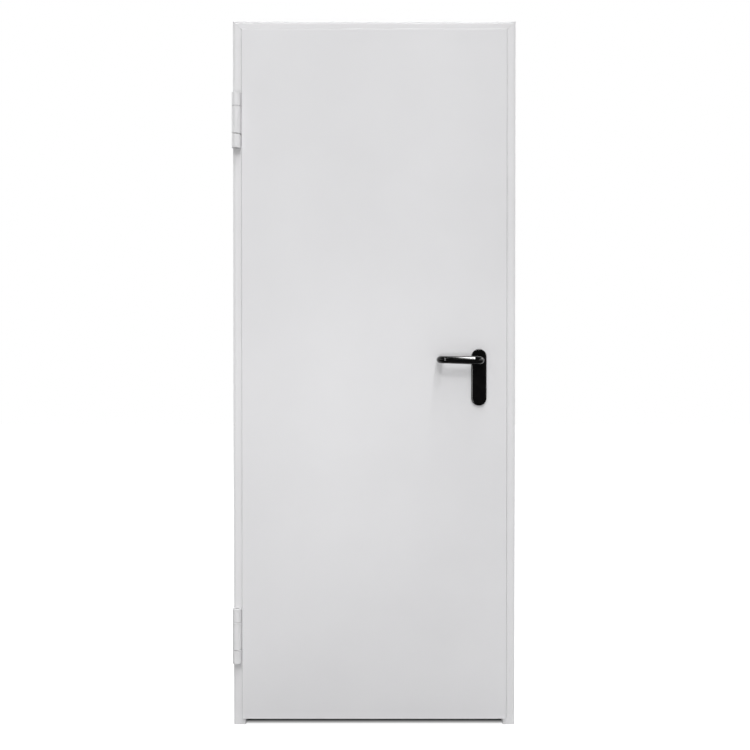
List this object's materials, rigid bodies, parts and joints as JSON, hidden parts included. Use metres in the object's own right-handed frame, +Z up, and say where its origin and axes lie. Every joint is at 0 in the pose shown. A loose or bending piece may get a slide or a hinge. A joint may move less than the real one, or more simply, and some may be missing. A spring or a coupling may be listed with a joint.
{
  "type": "fire door",
  "caption": "Single-leaf steel fire door in a folded corner frame, hung on barrel hinges with a lever handle on both faces.",
  "frame": {"origin": "foot of the hinge jamb, in the middle of the hemmed flange, on the face that lies against the wall", "axes": "+Z up, +X along the wall from the hinges to the lock, +Y into the wall; the hinges and the lip of the leaf face -Y"},
  "size_m": [0.821, 0.1886, 2.046],
  "materials": {
    "frame_paint": "fine-textured white powder coat",
    "leaf_paint": "fine-textured white powder coat",
    "hinge_paint": "smooth white powder coat",
    "galvanised_steel": "zinc-coated sheet",
    "bright_steel": "bright zinc-plated steel",
    "fire_seal": "matt graphite strip",
    "mineral_wool": "pressed mineral wool board",
    "black_nylon": "glossy black nylon"
  },
  "bodies": {
    "frame": {"hinge_jamb": "frame_paint", "lock_jamb": "frame_paint", "frame_head": "frame_paint", "hinge_jamb_anchor_straps": "galvanised_steel", "lock_jamb_anchor_straps": "galvanised_steel", "corner_cleats": "galvanised_steel", "hinge_side_fire_seal": "fire_seal", "lock_side_fire_seal": "fire_seal", "head_fire_seal": "fire_seal", "strike_plate": "bright_steel", "strike_box": "galvanised_steel", "dog_bolt_keeps": "galvanised_steel", "upper_hinge_frame_knuckles": "hinge_paint", "lower_hinge_frame_knuckles": "hinge_paint", "upper_hinge_pin": "bright_steel", "lower_hinge_pin": "bright_steel", "upper_hinge_bearing": "bright_steel", "lower_hinge_bearing": "bright_steel", "hinge_jamb_lining": "frame_paint", "lock_jamb_lining": "frame_paint", "head_lining": "frame_paint"},
    "leaf": {"leaf_front_sheet": "leaf_paint", "leaf_back_tray": "leaf_paint", "leaf_bottom_channel": "galvanised_steel", "leaf_core": "mineral_wool", "upper_hinge_leaf_knuckle": "hinge_paint", "lower_hinge_leaf_knuckle": "hinge_paint", "dog_bolts": "bright_steel", "lock_case": "galvanised_steel", "lock_forend": "bright_steel", "latch_bolt": "bright_steel", "front_backplate": "black_nylon", "back_backplate": "black_nylon"},
    "handle": {"front_lever": "black_nylon", "back_lever": "black_nylon", "spindle": "bright_steel"}
  },
  "joints": [
    {"name": "leaf_swing", "type": "hinge", "parent": "frame", "child": "leaf", "pos_m": [0.006, -0.019, 1], "axis": [0, 0, -1], "range_deg": [0, 170], "stiffness_Nm_per_rad": 4, "springref_deg": -114.59},
    {"name": "lever_turn", "type": "hinge", "parent": "leaf", "child": "handle", "pos_m": [0.707, 0.0177, 1.063], "axis": [0, -1, 0], "range_deg": [0, 45], "stiffness_Nm_per_rad": 1.2, "springref_deg": -42.97}
  ]
}
